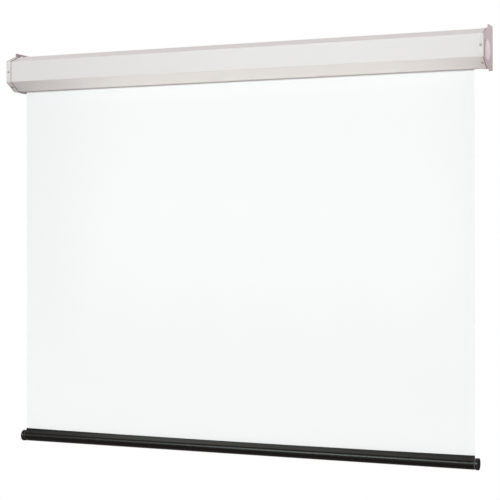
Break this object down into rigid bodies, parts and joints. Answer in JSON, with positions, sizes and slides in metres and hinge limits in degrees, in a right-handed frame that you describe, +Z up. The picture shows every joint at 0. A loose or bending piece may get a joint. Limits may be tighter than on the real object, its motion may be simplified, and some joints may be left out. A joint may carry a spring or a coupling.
{
  "type": "pull-down projector screen",
  "caption": "Wall-hung pull-down projection screen: spring roller in an eight-sided steel case, white 4:3 sheet, black hem pocket and weighted bottom bar.",
  "frame": {"origin": "middle of the case's flat back, which lies on the wall", "axes": "+X along the screen to the viewer's right, +Y into the wall, +Z up"},
  "size_m": [1.8138, 0.1354, 1.4602],
  "materials": {
    "case_white": "off-white powder coat, fine orange peel, semi-matt",
    "cap_white": "off-white powder coat, a shade darker than the case",
    "cover_white": "moulded off-white plastic, fine texture",
    "zinc_steel": "zinc-plated steel, dull",
    "shaft_steel": "drawn steel, oiled",
    "spring_steel": "oil-tempered wire",
    "nylon": "natural nylon",
    "roller_aluminium": "mill-finish tube",
    "bar_aluminium": "black-anodised tube, glossy",
    "screen_white": "matt white coated fabric with a black back",
    "hem_black": "black coated back of the same fabric",
    "cap_black": "black moulded plastic",
    "wire_black": "black powder-coated wire",
    "batten_grey": "extruded grey strip"
  },
  "bodies": {
    "housing": {"case_shell": "case_white", "end_cap_left": "cap_white", "end_cap_right": "cap_white", "round_cover_left": "cover_white", "round_cover_right": "cover_white", "cap_screw_left_front": "zinc_steel", "cap_screw_left_slope": "zinc_steel", "cap_screw_right_front": "zinc_steel", "cap_screw_right_slope": "zinc_steel", "roller_bracket_left": "zinc_steel", "roller_bracket_right": "zinc_steel", "bracket_screw_left_upper": "zinc_steel", "bracket_screw_left_lower": "zinc_steel", "bracket_screw_right_upper": "zinc_steel", "bracket_screw_right_lower": "zinc_steel", "idle_bush": "nylon", "spear_shaft": "shaft_steel", "ratchet_disc": "zinc_steel", "spring_anchor": "nylon", "torsion_spring": "spring_steel", "screen_sheet": "screen_white"},
    "bar": {"bar_tube": "bar_aluminium", "bar_cap_left": "cap_black", "bar_cap_right": "cap_black", "hem_pocket": "hem_black", "handle_saddle": "cap_black", "saddle_screw_1": "zinc_steel", "saddle_screw_2": "zinc_steel"},
    "roller": {"roller_tube": "roller_aluminium", "spring_end_plug": "nylon", "idle_end_plug": "nylon", "idle_pin": "shaft_steel", "wound_fabric": "screen_white", "fabric_batten": "batten_grey", "pawl_pin_1": "zinc_steel", "pawl_pin_2": "zinc_steel"},
    "pawl_1": {"pawl_1": "shaft_steel"},
    "pawl_2": {"pawl_2": "shaft_steel"},
    "handle": {"handle_bail": "wire_black", "handle_grip": "cap_black"}
  },
  "joints": [
    {"name": "bar_slide", "type": "slide", "parent": "housing", "child": "bar", "axis": [0, 0, 1], "range_m": [0, 1.2727], "deforming": ["screen_sheet"]},
    {"name": "roller_turn", "type": "hinge", "parent": "housing", "child": "roller", "pos_m": [0, -0.08633, -0.0105], "axis": [1, 0, 0], "range_deg": [0, 3240]},
    {"name": "pawl_1_swing", "type": "hinge", "parent": "roller", "child": "pawl_1", "pos_m": [-0.8935, -0.08633, 0.005], "axis": [1, 0, 0], "range_deg": [0, 14]},
    {"name": "pawl_2_swing", "type": "hinge", "parent": "roller", "child": "pawl_2", "pos_m": [-0.8935, -0.08633, -0.026], "axis": [1, 0, 0], "range_deg": [0, 14]},
    {"name": "handle_fold", "type": "hinge", "parent": "bar", "child": "handle", "pos_m": [0, -0.0415, -1.3757], "axis": [-1, 0, 0], "range_deg": [0, 180]}
  ],
  "couplings": [
    {"joint": "roller_turn", "follows": "bar_slide", "rad_per_m": 44.43}
  ]
}
